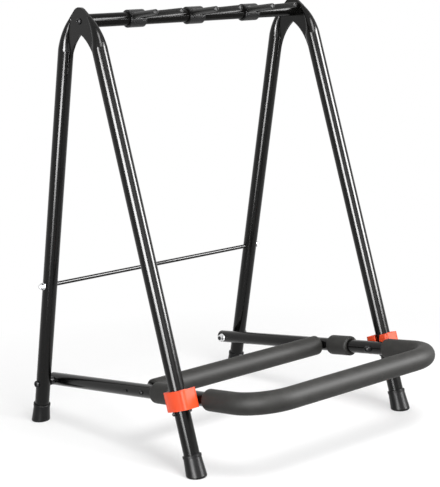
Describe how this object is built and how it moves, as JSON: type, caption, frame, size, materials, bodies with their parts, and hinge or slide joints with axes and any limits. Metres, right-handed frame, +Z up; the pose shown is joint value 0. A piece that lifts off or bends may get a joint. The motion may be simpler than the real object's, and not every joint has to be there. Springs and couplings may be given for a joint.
{
  "type": "multi guitar stand",
  "caption": "Folding rack for guitars: two tubular A-frames, a top bar with forked neck rests, and a foam-padded tray that hinges up from the rear legs.",
  "frame": {"origin": "middle of the outline on the floor, under the feet", "axes": "+X along the top bar to the right, +Y to the rear, +Z up; the tray's bow faces -Y"},
  "size_m": [0.5508, 0.6684, 0.792],
  "materials": {
    "frame_paint": "gloss black coat on steel tube and plate",
    "foot_rubber": "satin black moulded rubber",
    "collar_red": "satin orange-red moulded plastic",
    "foam": "matt charcoal closed-cell foam skin",
    "yoke_plastic": "satin black moulded plastic",
    "grip_rubber": "satin black rubber tube",
    "zinc": "bright zinc plate",
    "black_steel": "black oxide steel",
    "plug_plastic": "black moulded plastic"
  },
  "bodies": {
    "frame": {"left_front_leg": "frame_paint", "left_rear_leg": "frame_paint", "right_front_leg": "frame_paint", "right_rear_leg": "frame_paint", "left_gusset": "frame_paint", "right_gusset": "frame_paint", "top_bar": "frame_paint", "tie_rod": "frame_paint", "left_front_foot": "foot_rubber", "left_rear_foot": "foot_rubber", "right_front_foot": "foot_rubber", "right_rear_foot": "foot_rubber", "left_lock_collar": "collar_red", "right_lock_collar": "collar_red", "tie_rod_nuts": "zinc", "tie_rod_washers": "zinc", "pivot_nuts": "zinc", "pivot_washers": "zinc", "bar_screws": "black_steel", "pivot_bolts": "black_steel", "stop_pins": "black_steel", "bar_end_plugs": "plug_plastic", "pivot_spacers": "plug_plastic"},
    "tray": {"tray_tube": "frame_paint", "tray_tube_plugs": "plug_plastic", "rear_rail": "frame_paint", "rear_rail_plugs": "plug_plastic", "rear_rail_screws": "black_steel", "lock_studs": "black_steel", "lock_washers": "black_steel", "lock_nuts": "black_steel", "front_foam": "foam", "rear_foam": "foam", "left_side_foam": "foam", "right_side_foam": "foam"},
    "neck_rest_left": {"left_neck_sleeve": "yoke_plastic", "left_prong_rods": "black_steel", "left_prong_grips": "grip_rubber", "left_clamp_screws": "black_steel"},
    "neck_rest_centre": {"centre_neck_sleeve": "yoke_plastic", "centre_prong_rods": "black_steel", "centre_prong_grips": "grip_rubber", "centre_clamp_screws": "black_steel"},
    "neck_rest_right": {"right_neck_sleeve": "yoke_plastic", "right_prong_rods": "black_steel", "right_prong_grips": "grip_rubber", "right_clamp_screws": "black_steel"}
  },
  "joints": [
    {"name": "tray_fold", "type": "hinge", "parent": "frame", "child": "tray", "pos_m": [0, 0.29455, 0.08], "axis": [-1, 0, 0], "range_deg": [0, 63]},
    {"name": "left_neck_rest_tilt", "type": "hinge", "parent": "frame", "child": "neck_rest_left", "pos_m": [-0.134, 0.06823, 0.768], "axis": [-1, 0, 0], "range_deg": [-45, 45]},
    {"name": "centre_neck_rest_tilt", "type": "hinge", "parent": "frame", "child": "neck_rest_centre", "pos_m": [0, 0.06823, 0.768], "axis": [-1, 0, 0], "range_deg": [-45, 45]},
    {"name": "right_neck_rest_tilt", "type": "hinge", "parent": "frame", "child": "neck_rest_right", "pos_m": [0.134, 0.06823, 0.768], "axis": [-1, 0, 0], "range_deg": [-45, 45]}
  ]
}
